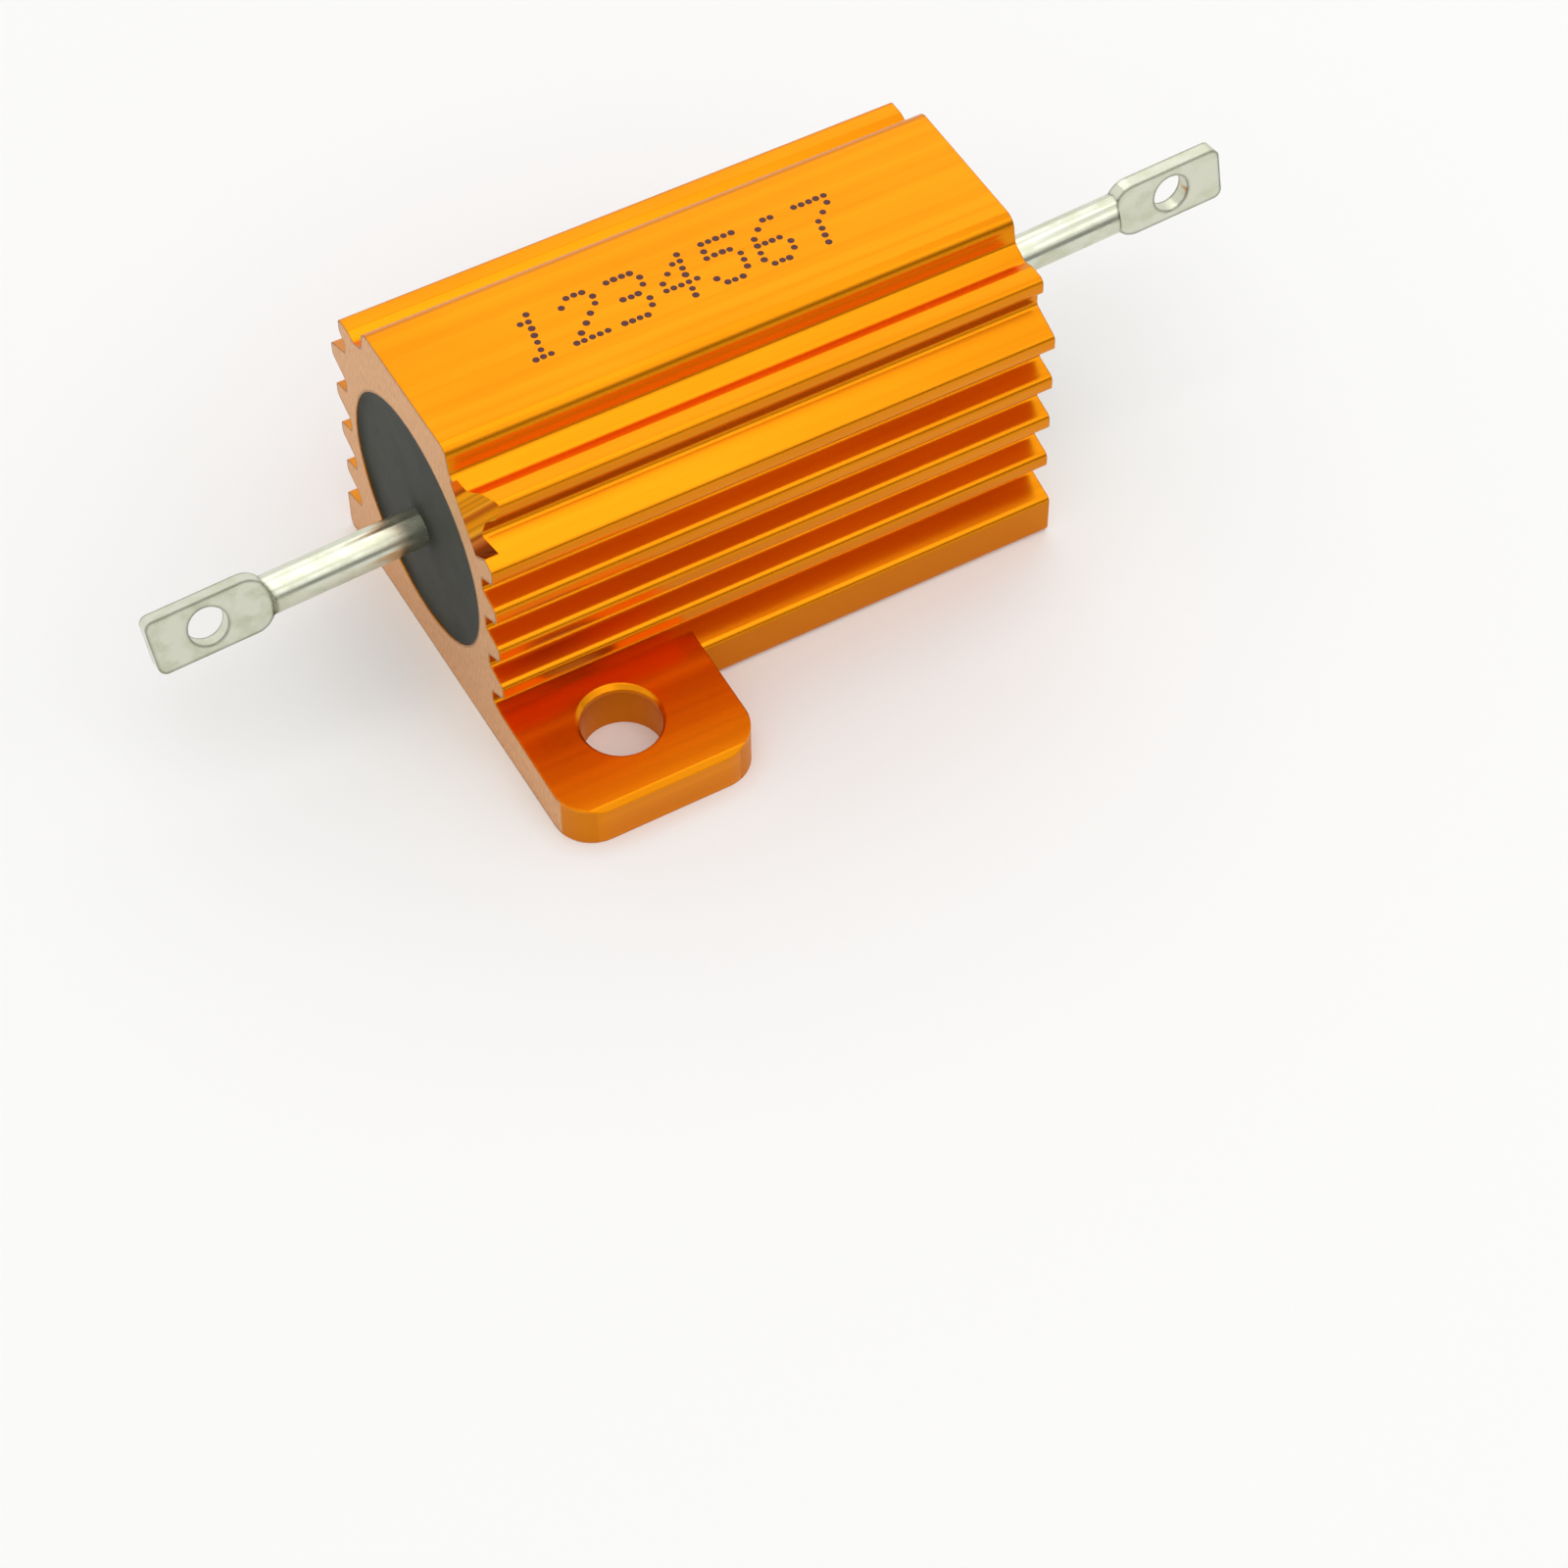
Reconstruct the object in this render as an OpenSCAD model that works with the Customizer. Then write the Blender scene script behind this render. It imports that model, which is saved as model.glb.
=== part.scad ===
// Aluminium housed power resistor: a finned, anodised extrusion with two
// diagonal mounting tabs. A wound ceramic element is cast into its bore, and a
// coined solder lug comes out of each end.
// Frame: X along the bore, Y across the tabs, Z up. The origin is the centre
// of the housing's base, on the mounting face.

/* [Housing] */
// Length of the housing along X
body_len = 27; // [24:0.5:34]
// Height of the housing, from the mounting face to the flat top
body_h = 15.9; // [15.7:0.1:18]
// Width of the flat top
top_w = 8; // [7:0.1:8.2]
// Radius of the long edges of the flat top
top_edge_r = 0.6; // [0.3:0.05:0.8]
// Width of the base between the tabs
base_w = 16; // [15.6:0.1:18]
// Thickness of the base flange at its edge
flange_t = 2.15; // [1.6:0.05:2.3]
// How far the flange thickens where it meets the body
flange_rise = 0.45; // [0.1:0.05:0.5]
// Diameter of the bore
bore_d = 11.6; // [10.6:0.1:11.8]
// Height of the bore's axis above the mounting face
bore_z = 7.95; // [7.7:0.05:8.2]

/* [Fins] */
// Number of equal fins on each side
fin_count = 3; // [2:1:3]
// Distance from one fin to the next
fin_pitch = 2.45; // [2.35:0.01:2.6]
// Height of the lowest fin's upper edge
fin_z = 4.65; // [4.4:0.05:4.8]
// Height of the crown fin's upper edge
crown_fin_z = 12; // [11.8:0.05:12.1]
// Width of the body across the fin tips
fin_span = 15.2; // [14.6:0.1:15.5]
// Width of the body across the fin roots
root_span = 12.9; // [12.5:0.1:13.1]
// Thickness of a fin at its tip
fin_tip_t = 0.75; // [0.65:0.05:1]
// Thickness of a fin at its root
fin_root_t = 1.7; // [1.4:0.05:1.75]
// How much higher a fin's upper face lies at its root than at its tip
fin_fall = 0.34; // [0:0.02:0.36]
// Radius of the fins' edges
fin_edge_r = 0.3; // [0.05:0.01:0.32]
// Radius in the grooves between the fins
groove_r = 0.28; // [0.05:0.01:0.3]

/* [Shoulders] */
// Width of the body across the neck under the crown ridges
neck_span = 12.1; // [11.7:0.1:12.2]
// Width across the crown ridges
ridge_span = 12.9; // [12.5:0.1:13.1]
// Height of the crown ridges' upper edge
ridge_z = 14.45; // [14.35:0.05:14.5]
// Thickness of a crown ridge
ridge_t = 0.8; // [0.65:0.05:0.9]
// Width across the inner edges of the crown ridges' flat tops
ridge_in_span = 11; // [10.8:0.1:11.4]
// Width across the valleys between the shoulders and the crown ridges
valley_span = 9.9; // [9.6:0.1:10.3]
// Height of those valleys
valley_z = 14.25; // [14.1:0.02:14.3]
// Width across the feet of the top's side walls
shoulder_span = 8.3; // [8.2:0.1:8.8]
// Height of the feet of the top's side walls
shoulder_z = 14.65; // [14.5:0.05:14.9]

/* [Struck corner] */
// Distance from the bore's axis to the struck facet at the end face
dent_wall = 7.1; // [6.9:0.05:7.6]
// How far the facet turns from the top towards the fins
dent_turn = 54; // [40:1:65]
// How steeply the facet rises from the end face
dent_rise = 59; // [45:1:75]
// Reach of the facet down towards the fins
dent_low = 0.6; // [0.2:0.1:0.9]
// Reach of the facet up towards the flat top
dent_high = 2.7; // [1.5:0.1:2.8]

/* [Tabs] */
// Overall width across the two tabs
flange_w = 27.4; // [26.5:0.1:30]
// Length of each tab along X
tab_len = 9.3; // [8:0.1:11]
// Radius of the tabs' outer corners
tab_corner_r = 1.8; // [0.6:0.1:2.2]
// Bevel along the outer upper edge of the tabs
tab_bevel = 0.25; // [0.1:0.05:0.6]
// How far a tab thickens from its outer edge to the body
tab_rise = 0.3; // [0.1:0.05:0.4]
// Hole pitch along X
hole_pitch_x = 18.3; // [17.5:0.1:19]
// Hole pitch along Y
hole_pitch_y = 19.8; // [19.6:0.1:21]
// Diameter of the mounting holes
hole_d = 3.6; // [3:0.1:3.8]
// Chamfer round the holes' upper rim
hole_chamfer = 0.14; // [0.12:0.01:0.3]

/* [Element] */
// Diameter of the ceramic core
core_d = 7.4; // [6:0.1:7.6]
// How far the ceramic core ends inside the housing
core_inset = 4; // [3.5:0.25:5]
// Wall of the end caps
cap_t = 0.4; // [0.3:0.05:0.5]
// Length of the end caps' skirts over the core
cap_skirt = 3; // [2:0.1:4]
// Diameter of the resistance wire
wire_d = 0.36; // [0.2:0.02:0.4]
// Number of turns of resistance wire
turns = 17; // [12:1:20]
// Tilt of the element in the bore, nose up towards +X
element_tilt = 2.75; // [0:0.05:3]
// Height of the element's middle above the bore's axis
element_rise = 0.2; // [0:0.05:0.3]
// How far the element sits off the middle along X
element_shift = 0.4; // [0:0.1:0.8]
// How far the casting compound is set back from the housing's ends
fill_recess = 0.25; // [0.1:0.05:0.6]

/* [Terminals] */
// Diameter of the terminal wire
lead_d = 1.8; // [1.2:0.1:2.2]
// How far each terminal stands out of the housing
lead_out = 13; // [11.5:0.5:17]
// Length of the coined lug
lug_len = 5.6; // [4.8:0.1:6.4]
// Width of the lug
lug_w = 2.6; // [2.4:0.1:3.2]
// Thickness of the lug
lug_t = 0.8; // [0.5:0.05:1.1]
// Radius of the lug's corners at the wire
lug_root_r = 1.1; // [0.6:0.05:1.15]
// Radius of the lug's outer corners
lug_corner_r = 0.4; // [0.1:0.05:0.8]
// Diameter of the hole in the lug
lug_hole_d = 1.8; // [1.2:0.1:2]
// Distance from the lug's end to the middle of its hole
lug_hole_in = 2.6; // [1.6:0.1:3]
// Lean of the left lug from upright
left_lean = 20; // [0:1:30]
// Lean of the right lug from upright
right_lean = 10; // [0:1:30]

/* [Hidden] */
$fn = 48;

// Clearance between pieces that fit into each other
fit = 0.02;
// Overrun of cutting tools past a face
over = 1;
// How far the wire reaches into the lug's outline
wire_lap = 0.05;
// Segments of a small rounded edge, all round
edge_fn = 24;
// Segments in one turn of resistance wire
turn_fn = 16;
// Sides of the resistance wire
wire_fn = 6;

half_len = body_len / 2;
core_len = body_len - 2 * core_inset;
reach = half_len + lead_out;
// Width over which the tabs thicken towards the body
tab_run = flange_w / 2 - tab_bevel - root_span / 2;
element_z = bore_z + element_rise;
cap_r = core_d / 2 + fit + cap_t;
// The straight steps of the wire clear the core at their middles
coil_r = (core_d / 2 + fit + wire_d / 2) / cos(180 / turn_fn);
cavity_r = max(cap_r, coil_r + wire_d / 2) + fit;
cap_end = core_len / 2 + fit + cap_t;
coil_len = core_len - 2 * (cap_skirt + fit) - wire_d;

// ---- Housing -------------------------------------------------------------

// Corners of one fin, from its lower root outwards and back to its upper root
function fin_points(top) = [
    [root_span / 2, top + fin_fall - fin_root_t],
    [fin_span / 2, top - fin_tip_t],
    [fin_span / 2, top],
    [root_span / 2, top + fin_fall]
];

// Corners of the right half of the extrusion's section, as [y, z]
function section_points() = concat(
    [
        [0, 0],
        [base_w / 2, 0],
        [base_w / 2, flange_t],
        [root_span / 2, flange_t + flange_rise]
    ],
    [for (i = [0 : fin_count - 1], p = fin_points(fin_z + i * fin_pitch)) p],
    [
        [root_span / 2, crown_fin_z + fin_fall - fin_root_t],
        [fin_span / 2, crown_fin_z - fin_tip_t],
        [fin_span / 2, crown_fin_z],
        [neck_span / 2, crown_fin_z + 2 * fin_fall],
        [neck_span / 2, ridge_z - ridge_t - fin_fall],
        [ridge_span / 2, ridge_z - ridge_t],
        [ridge_span / 2, ridge_z],
        [ridge_in_span / 2, ridge_z],
        [valley_span / 2, valley_z],
        [shoulder_span / 2, shoulder_z],
        [top_w / 2, body_h - top_edge_r],
        [0, body_h - top_edge_r]
    ]
);

module half_section() {
    polygon(section_points());
}

// The flat top with its rounded long edges
module top_section() {
    hull()
        for (side = [-1, 1])
            translate([side * (top_w / 2 - top_edge_r), body_h - top_edge_r])
                circle(top_edge_r);
}

// Section of the extrusion, with its edges and grooves rounded
module body_section() {
    offset(r = -groove_r, $fn = edge_fn)
        offset(delta = groove_r)
            offset(r = fin_edge_r, $fn = edge_fn)
                offset(delta = -fin_edge_r)
                    union() {
                        half_section();
                        mirror([1, 0])
                            half_section();
                        top_section();
                    }
}

// Section of one tab, from inside the body to its bevelled outer edge
module tab_section() {
    polygon([
        [0, 0],
        [flange_w / 2, 0],
        [flange_w / 2, flange_t - tab_bevel],
        [flange_w / 2 - tab_bevel, flange_t],
        [root_span / 2, flange_t + tab_rise],
        [0, flange_t + tab_rise]
    ]);
}

// What is cut off a square corner to leave it round. The corner is at the
// origin, and the material lies on its -X, -Y side.
module corner_cut(r) {
    translate([-r, -r, -over])
        linear_extrude(body_h)
            difference() {
                square(r + over);
                circle(r);
            }
}

// One tab on the -Y side, flush with the left end
module tab() {
    translate([-half_len, 0, 0])
        difference() {
            rotate([90, 0, 90])
                linear_extrude(tab_len)
                    mirror([1, 0])
                        tab_section();
            translate([0, -flange_w / 2, 0])
                mirror([1, 0, 0])
                    mirror([0, 1, 0])
                        corner_cut(tab_corner_r);
            translate([tab_len, -flange_w / 2, 0])
                mirror([0, 1, 0])
                    corner_cut(tab_corner_r);
        }
}

// The mounting hole of the -Y tab, with the chamfer round its upper rim
module mounting_hole() {
    edge = flange_w / 2 - tab_bevel - hole_pitch_y / 2;
    top = flange_t + tab_rise * edge / tab_run;
    translate([-hole_pitch_x / 2, -hole_pitch_y / 2, 0]) {
        translate([0, 0, -over])
            cylinder(d = hole_d, h = top + 2 * over);
        translate([0, 0, top - hole_chamfer])
            cylinder(
                d1 = hole_d,
                d2 = hole_d + 2 * (hole_chamfer + over),
                h = hole_chamfer + over
            );
    }
}

// What a blow took off the near ridge and shoulder at the left end
module struck_corner() {
    translate([-half_len, 0, bore_z])
        rotate([dent_turn, 0, 0])
            translate([0, -dent_low, dent_wall])
                rotate([0, -dent_rise, 0])
                    translate([-body_h, 0, 0])
                        cube([2 * body_h, dent_low + dent_high, body_h]);
}

module housing() {
    color("#F59A00")
        difference() {
            union() {
                translate([-half_len, 0, 0])
                    rotate([90, 0, 90])
                        linear_extrude(body_len)
                            body_section();
                for (turn = [0, 180])
                    rotate([0, 0, turn])
                        tab();
            }
            translate([-half_len - over, 0, bore_z])
                rotate([0, 90, 0])
                    cylinder(d = bore_d, h = body_len + 2 * over);
            for (turn = [0, 180])
                rotate([0, 0, turn])
                    mounting_hole();
            struck_corner();
        }
}

// ---- Element -------------------------------------------------------------

// Places the element in the bore. Its own axis is X, its middle the origin.
module in_bore() {
    translate([element_shift, 0, element_z])
        rotate([0, -element_tilt, 0])
            children();
}

// A cylinder along X, from x0 to x1
module rod(r, x0, x1) {
    translate([x0, 0, 0])
        rotate([0, 90, 0])
            cylinder(r = r, h = x1 - x0);
}

module casting_compound() {
    fill_len = body_len - 2 * fill_recess;
    color("#45463F")
        difference() {
            translate([0, 0, bore_z])
                rod(bore_d / 2 - fit, -fill_len / 2, fill_len / 2);
            in_bore() {
                rod(cavity_r, -cap_end - fit, cap_end + fit);
                rod(lead_d / 2 + fit, -reach, reach);
            }
        }
}

module ceramic_core() {
    color("#E9E4D6")
        in_bore()
            rod(core_d / 2, -core_len / 2, core_len / 2);
}

// One cup pressed over the core's right end
module end_cap() {
    color("#B9BBBE")
        difference() {
            rod(cap_r, core_len / 2 - cap_skirt, cap_end);
            rod(core_d / 2 + fit, 0, core_len / 2 + fit);
        }
}

module end_cap_left() {
    in_bore()
        mirror([1, 0, 0])
            end_cap();
}

module end_cap_right() {
    in_bore()
        end_cap();
}

// Middle of the wire after t turns
function coil_point(t) = [
    -coil_len / 2 + coil_len * t / turns,
    coil_r * cos(360 * t),
    coil_r * sin(360 * t)
];

// One ring of points round the wire after t turns
function wire_ring(t) = [
    for (k = [0 : wire_fn - 1])
        let (a = 360 * k / wire_fn, side = cos(a) * wire_d / 2)
            coil_point(t) + [sin(a) * wire_d / 2, side * cos(360 * t), side * sin(360 * t)]
];

module resistance_wire() {
    rings = turns * turn_fn;
    points = [for (i = [0 : rings], p = wire_ring(i / turn_fn)) p];
    walls = [
        for (i = [0 : rings - 1], k = [0 : wire_fn - 1])
            let (n = (k + 1) % wire_fn)
                [
                    i * wire_fn + k, i * wire_fn + n,
                    (i + 1) * wire_fn + n, (i + 1) * wire_fn + k
                ]
    ];
    ends = [
        [for (k = [wire_fn - 1 : -1 : 0]) k],
        [for (k = [0 : wire_fn - 1]) rings * wire_fn + k]
    ];
    color("#8C8577")
        in_bore()
            polyhedron(points, concat(walls, ends), convexity = 10);
}

// ---- Terminals -----------------------------------------------------------

// Outline of the coined lug, lying along X, smaller all round by inset
module lug_outline(inset) {
    hull()
        for (side = [-1, 1]) {
            translate([reach - lug_len + lug_root_r, side * (lug_w / 2 - lug_root_r)])
                circle(lug_root_r - inset);
            translate([reach - lug_corner_r, side * (lug_w / 2 - lug_corner_r)])
                circle(lug_corner_r - inset);
        }
}

// The flat lug with its hole
module lug() {
    difference() {
        translate([0, 0, -lug_t / 2])
            linear_extrude(lug_t)
                lug_outline(0);
        translate([reach - lug_hole_in, 0, -over])
            cylinder(d = lug_hole_d, h = 2 * over);
    }
}

// The round wire from the cap outwards, pressed away where the lug begins
module lead_wire() {
    difference() {
        rod(lead_d / 2, cap_end, reach - lug_len + lug_root_r);
        translate([0, 0, -lead_d])
            linear_extrude(2 * lead_d)
                lug_outline(wire_lap);
    }
}

// A terminal along +X. Its lug stands upright at a lean of 0.
module terminal(lean) {
    color("#C9C8BC")
        rotate([90 - lean, 0, 0]) {
            lead_wire();
            lug();
        }
}

module terminal_left() {
    in_bore()
        mirror([1, 0, 0])
            terminal(left_lean);
}

module terminal_right() {
    in_bore()
        terminal(right_lean);
}

housing();
casting_compound();
ceramic_core();
resistance_wire();
end_cap_left();
end_cap_right();
terminal_left();
terminal_right();
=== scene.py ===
"""Looks, studio and camera of an aluminium housed power resistor.

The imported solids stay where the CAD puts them. This script dresses them in
procedural finishes, adds the skins of the casting compound and the dot matrix
numerals on the flat top, and sets up a plain white table, soft lamps and the
camera. Lengths in the classes are millimetres in the CAD frame: X runs along
the bore, Y across the tabs, Z up from the mounting face.
"""

import logging
import math
import random
from collections.abc import Sequence
from dataclasses import dataclass, field
from enum import Enum

import bmesh
import bpy
from mathutils import Matrix, Vector, noise


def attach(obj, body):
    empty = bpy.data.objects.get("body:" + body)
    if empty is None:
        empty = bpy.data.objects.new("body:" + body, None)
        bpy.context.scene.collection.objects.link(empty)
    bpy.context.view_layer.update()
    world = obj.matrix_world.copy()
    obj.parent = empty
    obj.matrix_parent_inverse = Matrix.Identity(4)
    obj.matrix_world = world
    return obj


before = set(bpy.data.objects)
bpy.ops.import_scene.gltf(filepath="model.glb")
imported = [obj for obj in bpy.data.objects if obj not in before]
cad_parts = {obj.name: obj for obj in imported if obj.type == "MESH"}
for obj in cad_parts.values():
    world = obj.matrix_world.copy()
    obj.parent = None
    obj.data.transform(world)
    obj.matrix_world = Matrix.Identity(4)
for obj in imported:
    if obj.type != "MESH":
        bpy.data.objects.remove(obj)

log = logging.getLogger("resistor")

MM = 0.001
BODY = "root"
EDGE_SAMPLES = 4
ENERGY_PER_AREA = 4

Colour = tuple[float, float, float, float]
Wire = bpy.types.NodeSocket | float | Sequence[float]


class Slot(Enum):
    """Material slots of the record. Nothing in the script uses them."""

    ALUMINIUM = "anodised_aluminium"
    COMPOUND = "casting_compound"


class Side(Enum):
    """Ends of the part along the bore."""

    LEFT = -1
    RIGHT = 1


def linear(hex_colour: str) -> Colour:
    """Turn an sRGB hex colour into the linear values that shaders take.

    Args:
        hex_colour: Colour written as "#RRGGBB".

    Returns:
        Red, green, blue and an alpha of one.
    """

    def channel(start: int) -> float:
        """Linear value of the channel that starts at this digit."""
        level = int(hex_colour[start:start + 2], 16) / 255
        return level / 12.92 if level <= 0.04045 else ((level + 0.055) / 1.055) ** 2.4

    return channel(1), channel(3), channel(5), 1.0


def add(
    tree: bpy.types.NodeTree,
    kind: str,
    wires: dict[str | int, Wire] | None = None,
    out: str | int = 0,
    stops: Sequence[tuple[float, Colour]] = (),
    **settings: object,
) -> bpy.types.NodeSocket:
    """Add one node with its settings, values and links.

    Args:
        tree: Node tree that gets the node.
        kind: Blender's type name of the node.
        wires: Input name or index, and the value or output socket it takes.
        out: Name or index of the output to give back.
        stops: Positions and colours of a colour ramp.
        settings: Properties of the node itself.

    Returns:
        The chosen output of the new node. Its node has the others.
    """
    made = tree.nodes.new(kind)
    for name, value in settings.items():
        setattr(made, name, value)
    for key, value in (wires or {}).items():
        if isinstance(value, bpy.types.NodeSocket):
            tree.links.new(value, made.inputs[key])
        else:
            made.inputs[key].default_value = value
    if stops:
        ramp = made.color_ramp
        while len(ramp.elements) < len(stops):
            ramp.elements.new(1.0)
        for element, (position, colour) in zip(ramp.elements, stops):
            element.position = position
            element.color = colour
    return made.outputs[out] if made.outputs else None


def blank_material(name: str) -> tuple[bpy.types.Material, bpy.types.NodeTree]:
    """Make a material with an empty node tree.

    Args:
        name: Name of the material.

    Returns:
        The material and its tree.
    """
    material = bpy.data.materials.new(name)
    material.use_nodes = True
    material.node_tree.nodes.clear()
    return material, material.node_tree


def millimetres(tree: bpy.types.NodeTree) -> bpy.types.NodeSocket:
    """Give the surface point in millimetres of the CAD frame.

    Args:
        tree: Node tree that gets the nodes.

    Returns:
        Vector output in millimetres.
    """
    place = add(tree, "ShaderNodeTexCoord", out="Object")
    return add(tree, "ShaderNodeVectorMath", {0: place, "Scale": 1 / MM}, operation="SCALE")


@dataclass(frozen=True)
class Grain:
    """Soft irregular marks whose lengths along X, Y and Z are real, in millimetres."""

    pitch: tuple[float, float, float]
    octaves: float = 2.0
    sharpness: float = 0.5

    def lay(self, tree: bpy.types.NodeTree, point: bpy.types.NodeSocket) -> bpy.types.NodeSocket:
        """Lay the marks on a surface.

        Args:
            tree: Node tree that gets the nodes.
            point: Surface point in millimetres.

        Returns:
            Output between zero and one, around a half.
        """
        stretch = tuple(1 / length for length in self.pitch)
        place = add(tree, "ShaderNodeVectorMath", {0: point, 1: stretch}, operation="MULTIPLY")
        return add(tree, "ShaderNodeTexNoise", {
            "Vector": place, "Scale": 1.0, "Detail": self.octaves, "Roughness": self.sharpness,
        })


@dataclass(frozen=True)
class EdgeLine:
    """Line along sharp edges, where a rounded normal leaves the face's own.

    The width is in millimetres. The line starts where the two normals agree
    less than start, and has its full cover where they agree less than full.
    """

    width: float
    start: float
    full: float
    cover: float

    def lay(self, tree: bpy.types.NodeTree) -> bpy.types.NodeSocket:
        """Find the line.

        Args:
            tree: Node tree that gets the nodes.

        Returns:
            Mask of the line.
        """
        rounded = add(tree, "ShaderNodeBevel", {"Radius": self.width * MM}, samples=EDGE_SAMPLES)
        own = add(tree, "ShaderNodeNewGeometry", out="True Normal")
        agree = add(tree, "ShaderNodeVectorMath", {0: rounded, 1: own}, out="Value",
                    operation="DOT_PRODUCT")
        return add(tree, "ShaderNodeMapRange", {
            "Value": agree, "From Min": self.full, "From Max": self.start,
            "To Min": self.cover, "To Max": 0.0,
        })


@dataclass(frozen=True)
class AnodisedExtrusion:
    """Extruded aluminium, anodised and dyed gold.

    The die leaves fine lines along X, which split highlights into streaks. The
    real ones are too fine to show, so they are drawn about 0.1 mm apart. The
    dyed oxide turns deeper and redder where surfaces mirror each other. Sawn
    ends are bare metal, pale and matt, with a dark line painted along their
    edges as painted shade for the dark that these edges reflect. The milled
    edges of the flange are matt too.
    """

    name: str = "anodised_aluminium_extruded"
    gold: str = "#E68C10"
    deep_gold: str = "#DA800B"
    sawn: str = "#E2B283"
    sawn_dark: str = "#D3A070"
    # Colour of the painted shade along the edges of the sawn ends.
    sawn_edge_shade: str = "#5E3414"
    milled: str = "#D8820E"
    # Painted highlight and shade: colour bands that copy the ridges' bright and dark reflections
    # across the struck corner.
    struck_reflection_bands: tuple[tuple[float, str], ...] = (
        (1.4, "#74340A"), (1.6, "#8A3404"), (1.9, "#C8702A"), (2.05, "#904404"),
        (2.2, "#E89A30"), (2.3, "#E2930E"), (2.4, "#C07A14"), (2.5, "#E68C0C"),
        (2.62, "#D8860C"), (2.78, "#B0560C"), (2.9, "#C06410"), (3.0, "#EE9C20"),
        (3.1, "#C47E14"), (3.2, "#E68C0C"), (3.3, "#C07A14"), (3.4, "#EA900C"),
        (3.5, "#C47E14"), (3.62, "#F0980E"), (3.74, "#E8940E"), (3.85, "#9A4004"),
        (4.05, "#DE660A"),
    )
    streaks: Grain = Grain((60.0, 0.5, 0.5), 3.0)
    lines: Grain = Grain((25.0, 0.09, 0.09))
    clouds: Grain = Grain((9.0, 3.0, 3.0))
    sawing: Grain = Grain((0.3, 0.1, 0.5), 3.0, 0.6)
    streak_share: float = 0.6
    tone_low: float = 0.38
    tone_high: float = 0.62
    polished: float = 0.22
    worn: float = 0.26
    matt: float = 0.5
    flange_matt: float = 0.25
    flange_zone: float = 2.9
    line_depth: float = 0.0008
    saw_depth: float = 0.003
    edge_radius: float = 0.09
    sawn_edge_shade_line: EdgeLine = EdgeLine(0.2, 0.998, 0.96, 0.85)
    roll_start: float = 3.1
    roll_depth: float = 0.11
    top_height: float = 15.5
    struck_normal: tuple[float, float, float] = (-0.857, -0.41, 0.30)
    struck_facing: float = 0.97
    struck_band_slant: tuple[float, float, float] = (0.0, 0.788, 0.538)
    end_facing: float = 0.95
    end_start: float = 13.3
    upright_facing: float = 0.2
    flange_top: float = 2.0
    tab_face: float = 13.6

    def build(self) -> bpy.types.Material:
        """Make the material.

        Returns:
            The anodised aluminium.
        """
        material, tree = blank_material(self.name)
        point = millimetres(tree)
        streaks = self.streaks.lay(tree, point)
        sawing = self.sawing.lay(tree, point)
        sawn, milled = self.cut_masks(tree, point)
        machined = add(tree, "ShaderNodeMath", {0: sawn, 1: milled}, operation="MAXIMUM")
        rounded = add(tree, "ShaderNodeBevel", {"Radius": self.edge_radius * MM},
                      samples=EDGE_SAMPLES)
        tone = add(tree, "ShaderNodeMix", {
            0: self.streak_share, 2: self.clouds.lay(tree, point), 3: streaks,
        })
        dyed = add(tree, "ShaderNodeValToRGB", {"Fac": tone}, stops=(
            (self.tone_low, linear(self.deep_gold)), (self.tone_high, linear(self.gold)),
        ))
        cut = add(tree, "ShaderNodeValToRGB", {"Fac": sawing}, stops=(
            (self.tone_low, linear(self.sawn_dark)), (self.tone_high, linear(self.sawn)),
        ))
        # Painted shade: a dark line along the sawn edges stands in for the dark that these edges
        # reflect.
        sawn_edge_shaded = add(tree, "ShaderNodeMix", {
            0: self.sawn_edge_shade_line.lay(tree), 6: cut, 7: linear(self.sawn_edge_shade),
        }, out=2, data_type="RGBA")
        skin = add(tree, "ShaderNodeMix", {0: milled, 6: dyed, 7: linear(self.milled)},
                   out=2, data_type="RGBA")
        struck = self.struck_mask(tree)
        # The struck corner takes the painted reflection bands as its colour.
        struck_banded = add(tree, "ShaderNodeMix", {0: struck, 6: skin, 7: self.painted_struck_bands(tree, point)},
                     out=2, data_type="RGBA")
        colour = add(tree, "ShaderNodeMix", {0: sawn, 6: struck_banded, 7: sawn_edge_shaded},
                     out=2, data_type="RGBA")
        polish = add(tree, "ShaderNodeMapRange", {
            "Value": streaks, "From Min": self.tone_low, "From Max": self.tone_high,
            "To Min": self.polished, "To Max": self.worn,
        })
        level = add(tree, "ShaderNodeSeparateXYZ", {0: point}, out="Z")
        low = add(tree, "ShaderNodeMath", {0: level, 1: self.flange_zone}, operation="LESS_THAN")
        film = add(tree, "ShaderNodeMix", {0: low, 2: polish, 3: self.flange_matt})
        rough = add(tree, "ShaderNodeMix", {0: machined, 2: film, 3: self.matt})
        drawn = add(tree, "ShaderNodeMath", {0: self.lines.lay(tree, point), 1: self.line_depth},
                    operation="MULTIPLY")
        scored = add(tree, "ShaderNodeMath", {0: sawing, 1: self.saw_depth}, operation="MULTIPLY")
        rolled = add(tree, "ShaderNodeMath", {0: drawn, 1: self.edge_roll(tree, point)},
                     operation="SUBTRACT")
        relief = add(tree, "ShaderNodeMix", {0: machined, 2: rolled, 3: scored})
        normal = add(tree, "ShaderNodeBump", {
            "Height": relief, "Distance": MM, "Strength": 1.0, "Normal": rounded,
        })
        surface = add(tree, "ShaderNodeBsdfPrincipled", {
            "Base Color": colour, "Metallic": 1.0, "Roughness": rough, "Normal": normal,
        })
        add(tree, "ShaderNodeOutputMaterial", {"Surface": surface})
        return material

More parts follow.
